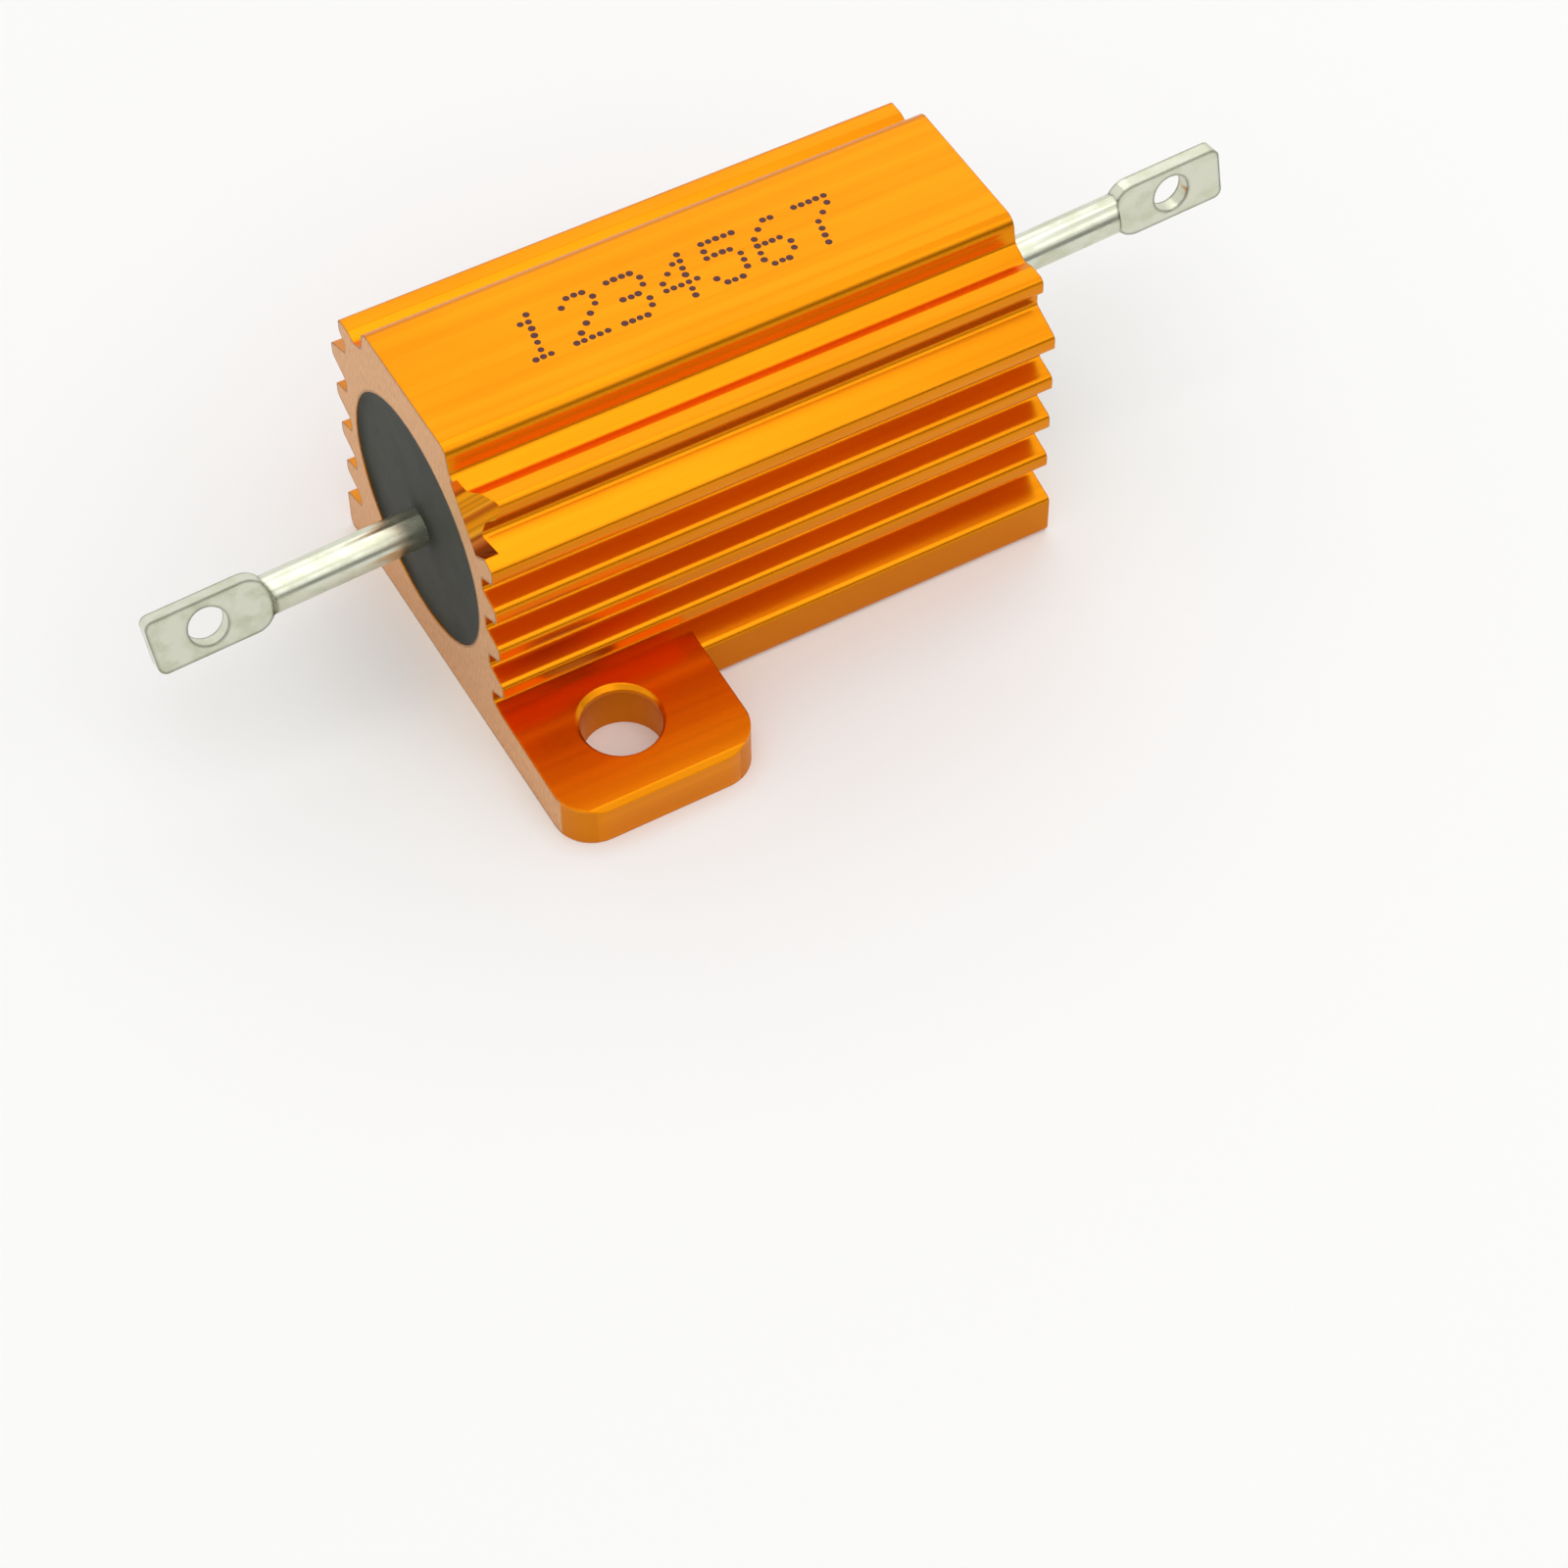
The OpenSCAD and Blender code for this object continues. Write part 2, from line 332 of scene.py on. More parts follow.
    def edge_roll(
        self, tree: bpy.types.NodeTree, point: bpy.types.NodeSocket
    ) -> bpy.types.NodeSocket:
        """Let the flat top roll down slightly towards its two long edges.

        Args:
            tree: Node tree that gets the nodes.
            point: Surface point in millimetres.

        Returns:
            Fall in millimetres.
        """
        size = add(tree, "ShaderNodeVectorMath", {0: point}, operation="ABSOLUTE")
        across = add(tree, "ShaderNodeSeparateXYZ", {0: size}, out="Y")
        past = add(tree, "ShaderNodeMath", {0: across, 1: self.roll_start}, operation="SUBTRACT")
        run = add(tree, "ShaderNodeMath", {0: past, 1: 0.0}, operation="MAXIMUM")
        curve = add(tree, "ShaderNodeMath", {0: run, 1: run}, operation="MULTIPLY")
        fall = add(tree, "ShaderNodeMath", {0: curve, 1: self.roll_depth}, operation="MULTIPLY")
        top = add(tree, "ShaderNodeMath", {
            0: across.node.outputs["Z"], 1: self.top_height,
        }, operation="GREATER_THAN")
        return add(tree, "ShaderNodeMath", {0: fall, 1: top}, operation="MULTIPLY")

    def struck_mask(self, tree: bpy.types.NodeTree) -> bpy.types.NodeSocket:
        """Find the facet of the struck corner.

        Args:
            tree: Node tree that gets the nodes.

        Returns:
            Mask of the facet.
        """
        own = add(tree, "ShaderNodeNewGeometry", out="True Normal")
        agree = add(tree, "ShaderNodeVectorMath", {0: own, 1: self.struck_normal}, out="Value",
                    operation="DOT_PRODUCT")
        return add(tree, "ShaderNodeMath", {0: agree, 1: self.struck_facing},
                   operation="GREATER_THAN")

    def painted_struck_bands(
        self, tree: bpy.types.NodeTree, point: bpy.types.NodeSocket
    ) -> bpy.types.NodeSocket:
        """Paint the ridges' bright and dark reflection bands over the struck corner.

        Args:
            tree: Node tree that gets the nodes.
            point: Surface point in millimetres.

        Returns:
            Colour of the painted bands.
        """
        first, last = self.struck_reflection_bands[0][0], self.struck_reflection_bands[-1][0]
        height = add(tree, "ShaderNodeVectorMath", {0: point, 1: self.struck_band_slant}, out="Value",
                     operation="DOT_PRODUCT")
        share = add(tree, "ShaderNodeMapRange", {
            "Value": height, "From Min": first, "From Max": last,
        })
        return add(tree, "ShaderNodeValToRGB", {"Fac": share}, stops=tuple(
            ((level - first) / (last - first), linear(shade)) for level, shade in self.struck_reflection_bands
        ))

    def cut_masks(
        self, tree: bpy.types.NodeTree, point: bpy.types.NodeSocket
    ) -> tuple[bpy.types.NodeSocket, bpy.types.NodeSocket]:
        """Find the sawn ends and the milled edges of the flange.

        Args:
            tree: Node tree that gets the nodes.
            point: Surface point in millimetres.

        Returns:
            Masks of the sawn faces and of the milled faces.
        """
        own = add(tree, "ShaderNodeNewGeometry", out="True Normal")
        facing = add(tree, "ShaderNodeVectorMath", {0: own}, operation="ABSOLUTE")
        facing_x = add(tree, "ShaderNodeSeparateXYZ", {0: facing}, out="X")
        facing_z = facing_x.node.outputs["Z"]
        size = add(tree, "ShaderNodeVectorMath", {0: point}, operation="ABSOLUTE")
        across = add(tree, "ShaderNodeSeparateXYZ", {0: size}, out="Y")
        height = across.node.outputs["Z"]
        end_on = add(tree, "ShaderNodeMath", {0: facing_x, 1: self.end_facing},
                     operation="GREATER_THAN")
        outer = add(tree, "ShaderNodeMath", {0: across.node.outputs["X"], 1: self.end_start},
                    operation="GREATER_THAN")
        sawn = add(tree, "ShaderNodeMath", {0: end_on, 1: outer}, operation="MULTIPLY")
        low = add(tree, "ShaderNodeMath", {0: height, 1: self.flange_top}, operation="LESS_THAN")
        upright = add(tree, "ShaderNodeMath", {0: facing_z, 1: self.upright_facing},
                      operation="LESS_THAN")
        inside = add(tree, "ShaderNodeMath", {0: across, 1: self.tab_face}, operation="LESS_THAN")
        side = add(tree, "ShaderNodeMath", {0: low, 1: upright}, operation="MULTIPLY")
        milled = add(tree, "ShaderNodeMath", {0: side, 1: inside}, operation="MULTIPLY")
        return sawn, milled


@dataclass(frozen=True)
class CastCement:
    """Silicone cement, poured into the bore and cured.

    Fine mineral filler makes it matt charcoal with a faint green cast and
    scattered paler and darker grains. The real grains are too fine to show,
    so they are drawn about 0.1 mm across.
    """

    name: str = "silicone_cement_cast"
    charcoal: str = "#262A20"
    dark: str = "#1B1E16"
    pale: str = "#3E4136"
    # Colour of the painted shadow round the wire.
    lead_shade: str = "#0A0B06"
    filler: Grain = Grain((0.12, 0.12, 0.12), 3.0, 0.65)
    clouds: Grain = Grain((2.4, 2.4, 2.4))
    clouds_low: float = 0.36
    clouds_high: float = 0.64
    speck_start: float = 0.56
    speck_full: float = 0.72
    smooth: float = 0.5
    rough: float = 0.72
    ior: float = 1.41
    depth: float = 0.012
    lead_shift: float = 0.4
    lead_height: float = 8.15
    lead_slope: float = 0.048
    lead_shade_start: float = 1.0
    lead_shade_end: float = 2.4
    lead_shade_cover: float = 0.75

    def build(self) -> bpy.types.Material:
        """Make the material.

        Returns:
            The casting compound.
        """
        material, tree = blank_material(self.name)
        point = millimetres(tree)
        filler = self.filler.lay(tree, point)
        body = add(tree, "ShaderNodeValToRGB", {"Fac": self.clouds.lay(tree, point)}, stops=(
            (self.clouds_low, linear(self.dark)), (self.clouds_high, linear(self.charcoal)),
        ))
        speck = add(tree, "ShaderNodeMapRange", {
            "Value": filler, "From Min": self.speck_start, "From Max": self.speck_full,
        })
        grained = add(tree, "ShaderNodeMix", {0: speck, 6: body, 7: linear(self.pale)},
                      out=2, data_type="RGBA")
        # Painted shade: a dark ring round the wire stands in for its contact shadow on the
        # cement.
        colour = add(tree, "ShaderNodeMix", {
            0: self.lead_shade_mask(tree, point), 6: grained, 7: linear(self.lead_shade),
        }, out=2, data_type="RGBA")
        rough = add(tree, "ShaderNodeMapRange", {
            "Value": filler, "To Min": self.smooth, "To Max": self.rough,
        })
        relief = add(tree, "ShaderNodeMath", {0: filler, 1: self.depth}, operation="MULTIPLY")
        normal = add(tree, "ShaderNodeBump", {"Height": relief, "Distance": MM, "Strength": 1.0})
        surface = add(tree, "ShaderNodeBsdfPrincipled", {
            "Base Color": colour, "Roughness": rough, "IOR": self.ior, "Normal": normal,
        })
        add(tree, "ShaderNodeOutputMaterial", {"Surface": surface})
        return material


    def lead_shade_mask(
        self, tree: bpy.types.NodeTree, point: bpy.types.NodeSocket
    ) -> bpy.types.NodeSocket:
        """Find the ring round the wire that gets painted shade for its contact shadow.

        Args:
            tree: Node tree that gets the nodes.
            point: Surface point in millimetres.

        Returns:
            Mask of the ring.
        """
        along = add(tree, "ShaderNodeSeparateXYZ", {0: point}, out="X")
        parts = along.node.outputs
        run = add(tree, "ShaderNodeMath", {0: along, 1: self.lead_shift}, operation="SUBTRACT")
        axis = add(tree, "ShaderNodeMath", {0: run, 1: self.lead_slope, 2: self.lead_height},
                   operation="MULTIPLY_ADD")
        rise = add(tree, "ShaderNodeMath", {0: parts["Z"], 1: axis}, operation="SUBTRACT")
        offset = add(tree, "ShaderNodeCombineXYZ", {"Y": parts["Y"], "Z": rise})
        away = add(tree, "ShaderNodeVectorMath", {0: offset}, out="Value", operation="LENGTH")
        return add(tree, "ShaderNodeMapRange", {
            "Value": away, "From Min": self.lead_shade_start, "From Max": self.lead_shade_end,
            "To Min": self.lead_shade_cover, "To Max": 0.0,
        }, interpolation_type="SMOOTHSTEP")


@dataclass(frozen=True)
class TinnedCopper:
    """Drawn copper wire, coined flat at its end and tin plated.

    Tin gives a soft silver with a faint straw and olive tint. Drawing leaves
    fine lines along the wire, and coining a slight orange peel on the lug.
    Dark lines along the lug's edges are painted shade for the dark that its
    rounded edges reflect.
    """

    name: str = "tinned_copper_coined"
    tin: str = "#D6D8C6"
    straw: str = "#CACCB4"
    lug_edge_shade: str = "#3E3A2A"
    drawing: Grain = Grain((9.0, 0.14, 0.14))
    peel: Grain = Grain((1.1, 0.8, 0.8), 3.0)
    peel_low: float = 0.42
    peel_high: float = 0.66
    bright: float = 0.2
    dull: float = 0.3
    draw_depth: float = 0.0016
    peel_depth: float = 0.003
    lug_edge_shade_line: EdgeLine = EdgeLine(0.26, 0.98, 0.84, 0.9)

    def build(self) -> bpy.types.Material:
        """Make the material.

        Returns:
            The tinned copper.
        """
        material, tree = blank_material(self.name)
        point = millimetres(tree)
        peel = self.peel.lay(tree, point)
        plated = add(tree, "ShaderNodeValToRGB", {"Fac": peel}, stops=(
            (self.peel_low, linear(self.tin)), (self.peel_high, linear(self.straw)),
        ))
        # Painted shade: dark lines along the lug's edges stand in for the dark that its rounded
        # edges reflect.
        colour = add(tree, "ShaderNodeMix", {
            0: self.lug_edge_shade_line.lay(tree), 6: plated, 7: linear(self.lug_edge_shade),
        }, out=2, data_type="RGBA")
        rough = add(tree, "ShaderNodeMapRange", {
            "Value": peel, "From Min": self.peel_low, "From Max": self.peel_high,
            "To Min": self.bright, "To Max": self.dull,
        })
        drawn = add(tree, "ShaderNodeMath", {
            0: self.drawing.lay(tree, point), 1: self.draw_depth,
        }, operation="MULTIPLY")
        relief = add(tree, "ShaderNodeMath", {0: peel, 1: self.peel_depth, 2: drawn},
                     operation="MULTIPLY_ADD")
        normal = add(tree, "ShaderNodeBump", {"Height": relief, "Distance": MM, "Strength": 1.0})
        surface = add(tree, "ShaderNodeBsdfPrincipled", {
            "Base Color": colour, "Metallic": 1.0, "Roughness": rough, "Normal": normal,
        })
        add(tree, "ShaderNodeOutputMaterial", {"Surface": surface})
        return material


@dataclass(frozen=True)
class FiredCeramic:
    """Alumina rod, pressed and fired.

    It is matt and off-white, with a fine pressed grain.
    """

    name: str = "alumina_fired"
    body: str = "#E9E4D6"
    shade: str = "#D6CFBC"
    pressing: Grain = Grain((0.3, 0.3, 0.3), 3.0)
    shade_start: float = 0.35
    shade_full: float = 0.7
    roughness: float = 0.6
    depth: float = 0.006

    def build(self) -> bpy.types.Material:
        """Make the material.

        Returns:
            The ceramic.
        """
        material, tree = blank_material(self.name)
        pressing = self.pressing.lay(tree, millimetres(tree))
        colour = add(tree, "ShaderNodeValToRGB", {"Fac": pressing}, stops=(
            (self.shade_start, linear(self.body)), (self.shade_full, linear(self.shade)),
        ))
        relief = add(tree, "ShaderNodeMath", {0: pressing, 1: self.depth}, operation="MULTIPLY")
        normal = add(tree, "ShaderNodeBump", {"Height": relief, "Distance": MM, "Strength": 1.0})
        surface = add(tree, "ShaderNodeBsdfPrincipled", {
            "Base Color": colour, "Roughness": self.roughness, "Normal": normal,
        })
        add(tree, "ShaderNodeOutputMaterial", {"Surface": surface})
        return material


@dataclass(frozen=True)
class BareMetal:
    """Plain metal, drawn or pressed, with fine marks along one direction.

    The marks stretch its highlights a little, and its tone varies softly.
    """

    name: str
    light: str
    dark: str
    smooth: float
    rough: float
    marks: Grain
    marks_low: float = 0.35
    marks_high: float = 0.65
    depth: float = 0.002

    def build(self) -> bpy.types.Material:
        """Make the material.

        Returns:
            The metal.
        """
        material, tree = blank_material(self.name)
        marks = self.marks.lay(tree, millimetres(tree))
        colour = add(tree, "ShaderNodeValToRGB", {"Fac": marks}, stops=(
            (self.marks_low, linear(self.light)), (self.marks_high, linear(self.dark)),
        ))
        rough = add(tree, "ShaderNodeMapRange", {
            "Value": marks, "From Min": self.marks_low, "From Max": self.marks_high,
            "To Min": self.smooth, "To Max": self.rough,
        })
        relief = add(tree, "ShaderNodeMath", {0: marks, 1: self.depth}, operation="MULTIPLY")
        normal = add(tree, "ShaderNodeBump", {"Height": relief, "Distance": MM, "Strength": 1.0})
        surface = add(tree, "ShaderNodeBsdfPrincipled", {
            "Base Color": colour, "Metallic": 1.0, "Roughness": rough, "Normal": normal,
        })
        add(tree, "ShaderNodeOutputMaterial", {"Surface": surface})
        return material


@dataclass(frozen=True)
class BurntMark:
    """Anodised film, burnt dark where it is marked.

    It is matt dark brown with a slightly uneven tone.
    """

    name: str = "anodised_film_burnt"
    burnt: str = "#461200"
    scorched: str = "#5C1E04"
    unevenness: Grain = Grain((0.1, 0.1, 0.1))
    tone_low: float = 0.42
    tone_high: float = 0.7
    roughness: float = 0.55

    def build(self) -> bpy.types.Material:
        """Make the material.

        Returns:
            The burnt film.
        """
        material, tree = blank_material(self.name)
        tone = self.unevenness.lay(tree, millimetres(tree))
        colour = add(tree, "ShaderNodeValToRGB", {"Fac": tone}, stops=(
            (self.tone_low, linear(self.burnt)), (self.tone_high, linear(self.scorched)),
        ))
        surface = add(tree, "ShaderNodeBsdfPrincipled", {
            "Base Color": colour, "Roughness": self.roughness,
        })
        add(tree, "ShaderNodeOutputMaterial", {"Surface": surface})
        return material


def dress(node: str, material: bpy.types.Material) -> None:
    """Give a CAD node its finish.

    Args:
        node: Name of the CAD node.
        material: Finish that it gets.
    """
    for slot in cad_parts[node].material_slots:
        slot.material = material
    log.info("dressed %s in %s", node, material.name)


def solidify(
    name: str, shape: bmesh.types.BMesh, material: bpy.types.Material
) -> bpy.types.Object:
    """Turn a finished shape into an object of the scene.

    Args:
        name: Name of the object.
        shape: Shape in metres of the CAD frame.
        material: Its finish.

    Returns:
        The new object.
    """
    mesh = bpy.data.meshes.new(name)
    shape.to_mesh(mesh)
    shape.free()
    mesh.materials.append(material)
    made = bpy.data.objects.new(name, mesh)
    bpy.context.scene.collection.objects.link(made)
    return made


def settle(
    name: str, shape: bmesh.types.BMesh, material: bpy.types.Material
) -> bpy.types.Object:
    """Turn a finished shape into a smooth piece that rides on the part.

    Args:
        name: Name of the piece.
        shape: Shape in metres of the CAD frame.
        material: Finish of the piece.

    Returns:
        The new piece.
    """
    piece = solidify(name, shape, material)
    for face in piece.data.polygons:
        face.use_smooth = True
    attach(piece, BODY)
    log.info("made %s with %d faces", name, len(piece.data.polygons))
    return piece


@dataclass
class Housing:
    """Finned extrusion with its two tabs."""

    finish: AnodisedExtrusion = field(default_factory=AnodisedExtrusion)

    def build(self) -> None:
        """Dress the extrusion."""
        dress("housing", self.finish.build())


@dataclass
class WoundElement:
    """Ceramic core, its winding and its end caps, all inside the compound."""

    ceramic: FiredCeramic = field(default_factory=FiredCeramic)
    alloy: BareMetal = BareMetal(
        "resistance_alloy_drawn", "#9A9384", "#766F62", 0.3, 0.42, Grain((0.2, 0.2, 0.2))
    )
    caps: BareMetal = BareMetal(
        "nickel_plated_steel_pressed", "#C4C5C4", "#A9ABAD", 0.22, 0.34, Grain((3.0, 0.2, 0.2))
    )

    def build(self) -> None:
        """Dress the parts of the element."""
        dress("ceramic_core", self.ceramic.build())
        dress("resistance_wire", self.alloy.build())
        cap = self.caps.build()
        for side in Side:
            dress(f"end_cap_{side.name.lower()}", cap)


@dataclass
class Terminals:
    """Wires with their coined lugs."""

    edge: float = 0.09
    edge_steps: int = 3
    edge_angle: float = 50.0
    join: float = 0.001
    finish: TinnedCopper = field(default_factory=TinnedCopper)

    def build(self) -> None:
        """Dress both terminals and round the edges of their lugs."""
        material = self.finish.build()
        for side in Side:
            node = f"terminal_{side.name.lower()}"
            dress(node, material)
            self.round_edges(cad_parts[node])

    def round_edges(self, piece: bpy.types.Object) -> None:
        """Round the sharp edges that coining leaves.

        Args:
            piece: Terminal that gets the modifiers.
        """
        piece.modifiers.new("join", "WELD").merge_threshold = self.join * MM
        bevel = piece.modifiers.new("coined_edges", "BEVEL")
        bevel.width = self.edge * MM
        bevel.segments = self.edge_steps
        bevel.limit_method = "ANGLE"
        bevel.angle_limit = math.radians(self.edge_angle)


@dataclass
class CastFill:
    """Casting compound with the slightly uneven skins of its two open faces."""

    radius: float = 5.79
    face_x: float = 13.25
    bore_z: float = 7.95
    element_z: float = 8.15
    element_shift: float = 0.4
    element_tilt: float = 2.75
    lead_radius: float = 0.9
    lead_lap: float = 0.05
    rings: int = 26
    spokes: int = 96
    lift: float = 0.01
    swell: float = 0.06
    wave_pitch: float = 1.8
    meniscus: float = 0.14
    meniscus_reach: float = 0.18
    collar: float = 0.12
    collar_reach: float = 0.25
    finish: CastCement = field(default_factory=CastCement)

    def build(self) -> None:
        """Dress the compound and lay a skin on each of its faces."""
        material = self.finish.build()
        dress("casting_compound", material)
        for side in Side:
            self.skin(side, material)

    def skin(self, side: Side, material: bpy.types.Material) -> bpy.types.Object:
        """Lay one skin from the wire out to the bore's wall.

        Args:
            side: End of the bore.
            material: Finish of the skin.

        Returns:
            The skin.
        """
        shape = bmesh.new()
        reach = side.value * self.face_x
        slope = math.tan(math.radians(self.element_tilt))
        lead_z = self.element_z + (reach - self.element_shift) * slope
        lead = Vector((0.0, lead_z - self.bore_z))
        rows = []
        for ring in range(self.rings + 1):
            row = []
            for spoke in range(self.spokes):
                turn = 2 * math.pi * spoke / self.spokes
                direction = Vector((math.cos(turn), math.sin(turn)))
                inner = lead + direction * (self.lead_radius - self.lead_lap)
                spot = inner.lerp(direction * self.radius, ring / self.rings)
                level = reach + side.value * self.height(spot, lead, side)
                row.append(shape.verts.new((
                    level * MM, spot.x * MM, (spot.y + self.bore_z) * MM,
                )))
            rows.append(row)
        for low, high in zip(rows, rows[1:]):
            for spoke in range(self.spokes):
                after = (spoke + 1) % self.spokes
                corners = [low[spoke], low[after], high[after], high[spoke]]
                shape.faces.new(corners[::side.value])
        return settle(f"compound_skin_{side.name.lower()}", shape, material)

    def height(self, spot: Vector, lead: Vector, side: Side) -> float:
        """Give the skin's height over the compound's flat face.

        Args:
            spot: Point on the face, from the bore's axis.
            lead: Middle of the wire on the face.
            side: End of the bore.

        Returns:
            Height in millimetres, outwards.
        """
        wall = max(0.0, self.radius - spot.length)
        wire = max(0.0, (spot - lead).length - self.lead_radius)
        place = Vector((spot.x, spot.y, self.face_x * side.value)) / self.wave_pitch
        swell = self.swell * (1 + noise.noise(place)) / 2
        meniscus = self.meniscus * math.exp(-wall / self.meniscus_reach)
        collar = self.collar * math.exp(-wire / self.collar_reach)
        return self.lift + swell + meniscus + collar


@dataclass
class Numerals:
    """Plain counting numerals, burnt into the flat top as rows of dots."""

    row: str = "1234567"
    top_z: float = 15.9
    start_x: float = -8.3
    base_y: float = -1.2
    pitch_x: float = 0.365
    pitch_y: float = 0.42
    advance: float = 2.26
    lean: float = 10.0
    dot_radius: float = 0.17
    spread: float = 0.08
    jitter: float = 0.02
    stand: float = 0.002
    sink: float = 0.02
    rim: float = 0.92
    floor: float = 0.55
    sides: int = 14
    seed: int = 7
    finish: BurntMark = field(default_factory=BurntMark)

    DIGITS = {
        "1": ("..#..", ".##..", "..#..", "..#..", "..#..", "..#..", ".###."),
        "2": (".###.", "#...#", "....#", "...#.", "..#..", ".#...", "#####"),
        "3": ("####.", "....#", "....#", ".###.", "....#", "....#", "####."),
        "4": ("...#.", "..##.", ".#.#.", "#..#.", "#####", "...#.", "...#."),
        "5": ("#####", "#....", "####.", "....#", "....#", "#...#", ".###."),
        "6": ("..##.", ".#...", "#....", "####.", "#...#", "#...#", ".###."),
        "7": ("#####", "....#", "...#.", "..#..", "..#..", "..#..", "..#.."),
    }

    def build(self) -> bpy.types.Object:
        """Burn the row of numerals.

        Returns:
            The piece with all dots.
        """
        dice = random.Random(self.seed)
        shape = bmesh.new()
        for x, y in self.spots():
            self.dot(
                shape,
                x + dice.uniform(-self.jitter, self.jitter),
                y + dice.uniform(-self.jitter, self.jitter),
                self.dot_radius * (1 + dice.uniform(-self.spread, self.spread)),
            )
        return settle("numeral_dots", shape, self.finish.build())

    def spots(self) -> list[tuple[float, float]]:
        """List the middles of all dots.

        Returns:
            Places along X and Y, in millimetres.
        """
        slant = math.tan(math.radians(self.lean))
        found = []
        for place, digit in enumerate(self.row):
            for line, cells in enumerate(reversed(self.DIGITS[digit])):
                rise = line * self.pitch_y
                for column, cell in enumerate(cells):
                    if cell == "#":
                        run = place * self.advance + column * self.pitch_x + rise * slant
                        found.append((self.start_x + run, self.base_y + rise))
        return found

    def dot(self, shape: bmesh.types.BMesh, x: float, y: float, radius: float) -> None:
        """Add one burnt dot: a flat crater floor inside a low rim.

        Args:
            shape: Shape that gets the dot.
            x: Middle along X, in millimetres.
            y: Middle along Y, in millimetres.
            radius: Radius in millimetres.
        """
        turns = [2 * math.pi * step / self.sides for step in range(self.sides)]
        loops = [
            [
                shape.verts.new((
                    (x + radius * share * math.cos(turn)) * MM,
                    (y + radius * share * math.sin(turn)) * MM,
                    (self.top_z + height) * MM,
                ))
                for turn in turns
            ]
            for share, height in (
                (1.0, -self.sink), (self.rim, self.stand), (self.floor, self.stand / 2)
            )
        ]
        for outer, inner in zip(loops, loops[1:]):
            for step in range(self.sides):
                after = (step + 1) % self.sides
                shape.faces.new([outer[step], outer[after], inner[after], inner[step]])
        shape.faces.new(loops[-1])


def towards(azimuth: float, elevation: float) -> Vector:
    """Give the direction from the part to a place around it.

    Args:
        azimuth: Degrees to the right of the front.
        elevation: Degrees above the table.

    Returns:
        Unit direction.
    """
    turn, rise = math.radians(azimuth), math.radians(elevation)
    flat = math.cos(rise)
    return Vector((math.sin(turn) * flat, -math.cos(turn) * flat, math.sin(rise)))


@dataclass(frozen=True)
class Softbox:
    """One soft rectangular lamp that faces the part.

    Its level is its brightness, where white is one. In mirrors it adds to the
    white of the surroundings behind it.
    """

    name: str
    azimuth: float
    elevation: float
    width: float
    height: float
    level: float
    distance: float = 0.5

    def build(self) -> None:
        """Hang the lamp."""
        back = towards(self.azimuth, self.elevation)
        lamp = bpy.data.lights.new(self.name, "AREA")
        lamp.shape = "RECTANGLE"
        lamp.size = self.width
        lamp.size_y = self.height
        lamp.energy = self.level * ENERGY_PER_AREA * self.width * self.height
        hung = bpy.data.objects.new(self.name, lamp)
        hung.location = back * self.distance
        hung.rotation_mode = "QUATERNION"
        hung.rotation_quaternion = (-back).to_track_quat("-Z", "Y")
        bpy.context.scene.collection.objects.link(hung)


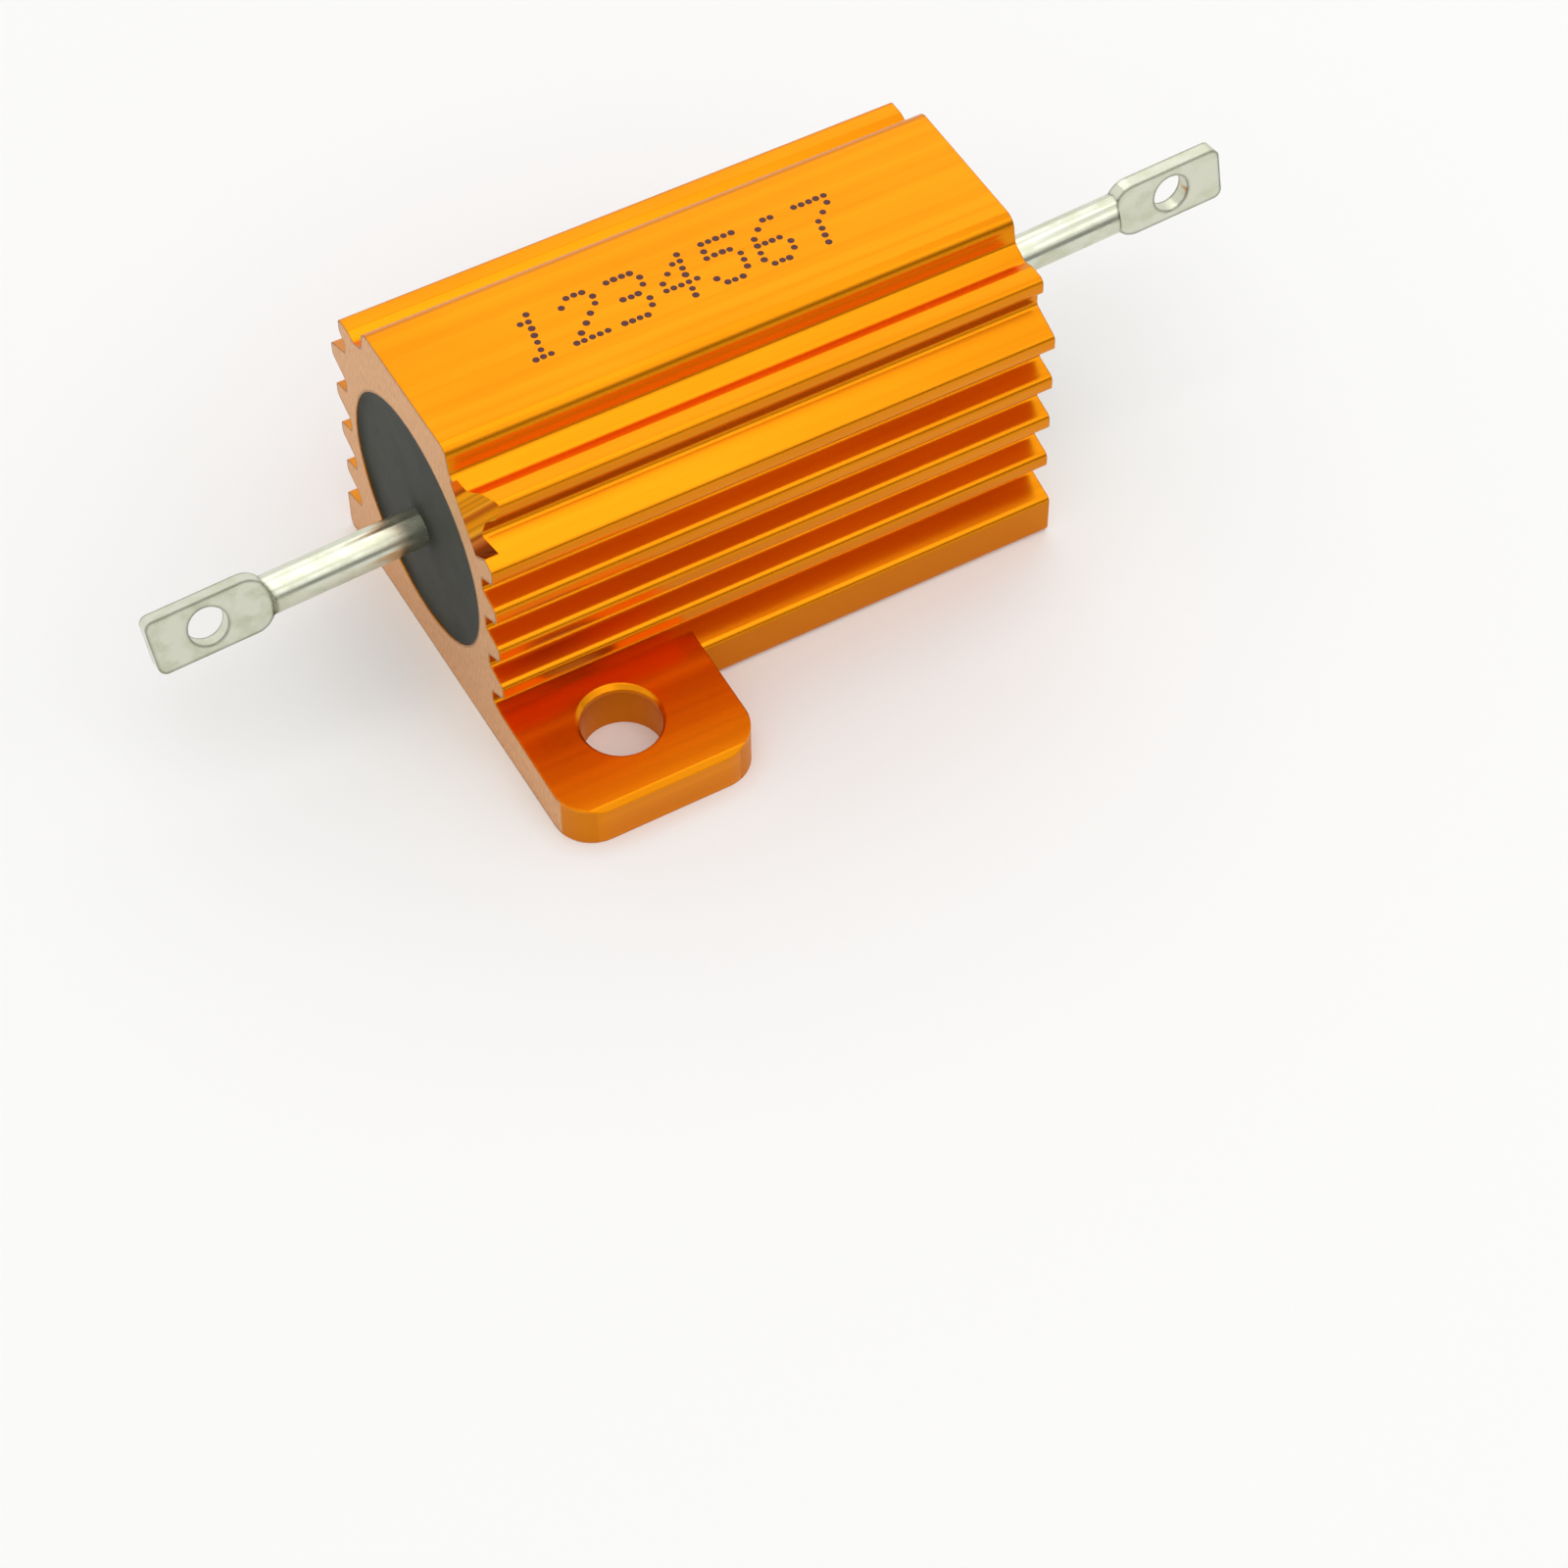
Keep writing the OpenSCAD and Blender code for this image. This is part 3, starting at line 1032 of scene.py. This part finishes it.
@dataclass
class Studio:
    """White table, plain surroundings, soft lamps and one curved dark card."""

    ambient: float = 0.72
    table_half: float = 3.0
    table_drop: float = 0.01
    table_colour: str = "#F2F2F1"
    table_glow: float = 0.06
    card_radius: float = 0.42
    card_azimuth: float = 27.0
    card_top: float = 22.0
    card_level: float = 0.3
    card_spread: float = 40.0
    card_steps: int = 16
    lamps: tuple[Softbox, ...] = (
        Softbox("softbox_above", 0, 86, 0.4, 0.5, 0.8),
        Softbox("softbox_front", 27, 44, 0.6, 0.17, 0.5),
        Softbox("softbox_back", 152.6, 44, 0.5, 0.24, 0.5),
    )

    def build(self) -> None:
        """Set up surroundings, table, card and lamps."""
        self.surroundings()
        self.table()
        self.card()
        for lamp in self.lamps:
            lamp.build()
        bpy.context.scene.view_settings.view_transform = "Standard"

    def seen(self, tree: bpy.types.NodeTree) -> bpy.types.NodeSocket:
        """Find the rays of the camera, of mirrors and of glass.

        Args:
            tree: Node tree that gets the nodes.

        Returns:
            One for those rays, zero for the others.
        """
        direct = add(tree, "ShaderNodeLightPath", out="Is Camera Ray")
        rays = direct.node.outputs
        mirrored = add(tree, "ShaderNodeMath", {
            0: rays["Is Glossy Ray"], 1: rays["Is Transmission Ray"],
        }, operation="MAXIMUM")
        return add(tree, "ShaderNodeMath", {0: direct, 1: mirrored}, operation="MAXIMUM")

    def surroundings(self) -> None:
        """Make the surroundings white to look at, and softer as a light."""
        world = bpy.data.worlds.new("white_room")
        world.use_nodes = True
        tree = world.node_tree
        tree.nodes.clear()
        level = add(tree, "ShaderNodeMix", {0: self.seen(tree), 2: self.ambient, 3: 1.0})
        room = add(tree, "ShaderNodeBackground", {"Color": linear("#FFFFFF"), "Strength": level})
        add(tree, "ShaderNodeOutputWorld", {"Surface": room})
        bpy.context.scene.world = world

    def table(self) -> None:
        """Lay the white table under the mounting face."""
        material, tree = blank_material("board_painted_white")
        paint = add(tree, "ShaderNodeBsdfDiffuse", {"Color": linear(self.table_colour)})
        lift = add(tree, "ShaderNodeMath", {0: self.seen(tree), 1: self.table_glow},
                   operation="MULTIPLY")
        glow = add(tree, "ShaderNodeEmission", {"Strength": lift})
        both = add(tree, "ShaderNodeAddShader", {0: paint, 1: glow})
        add(tree, "ShaderNodeOutputMaterial", {"Surface": both})
        shape = bmesh.new()
        half = self.table_half
        shape.faces.new([
            shape.verts.new((x, y, -self.table_drop * MM))
            for x, y in ((-half, -half), (half, -half), (half, half), (-half, half))
        ])
        solidify("table", shape, material)

    def card(self) -> None:
        """Stand a dark card round the front, seen in the metal alone."""
        material, tree = blank_material("card_dark")
        glow = add(tree, "ShaderNodeEmission", {"Strength": self.card_level})
        add(tree, "ShaderNodeOutputMaterial", {"Surface": glow})
        shape = bmesh.new()
        top = self.card_radius * math.tan(math.radians(self.card_top))
        rows = []
        for step in range(self.card_steps + 1):
            azimuth = self.card_azimuth + self.card_spread * (2 * step / self.card_steps - 1)
            foot = towards(azimuth, 0.0) * self.card_radius
            rows.append([shape.verts.new((foot.x, foot.y, level)) for level in (0.0, top)])
        for here, after in zip(rows, rows[1:]):
            shape.faces.new([here[0], after[0], after[1], here[1]])
        card = solidify("card_front", shape, material)
        card.visible_camera = False
        card.visible_diffuse = False
        card.visible_shadow = False


@dataclass(frozen=True)
class Viewpoint:
    """Camera on the front left, looking down at the part."""

    azimuth: float = -29.12
    elevation: float = 52.0
    roll: float = -0.46
    distance: float = 175.06
    aim: tuple[float, float, float] = (-2.83, -12.76, -2.91)
    lens: float = 91.82
    sensor: float = 36.0
    nearest: float = 0.001
    furthest: float = 20.0

    def build(self) -> None:
        """Place the camera and make it the scene's own."""
        turn, roll = math.radians(self.azimuth), math.radians(self.roll)
        back = towards(self.azimuth, self.elevation)
        level = Vector((math.cos(turn), math.sin(turn), 0.0))
        right = level * math.cos(roll) + back.cross(level) * math.sin(roll)
        data = bpy.data.cameras.new("camera")
        data.lens = self.lens
        data.sensor_width = self.sensor
        data.clip_start = self.nearest
        data.clip_end = self.furthest
        camera = bpy.data.objects.new("camera", data)
        place = (Vector(self.aim) + back * self.distance) * MM
        turned = Matrix((right, back.cross(right), back)).transposed().to_4x4()
        camera.matrix_world = Matrix.Translation(place) @ turned
        bpy.context.scene.collection.objects.link(camera)
        bpy.context.scene.camera = camera


def main() -> None:
    """Build every sub-assembly in order."""
    logging.basicConfig(level=logging.INFO, format="%(message)s")
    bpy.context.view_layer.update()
    Viewpoint().build()
    Studio().build()
    Housing().build()
    WoundElement().build()
    CastFill().build()
    Terminals().build()
    Numerals().build()


if __name__ == "__main__":
    main()
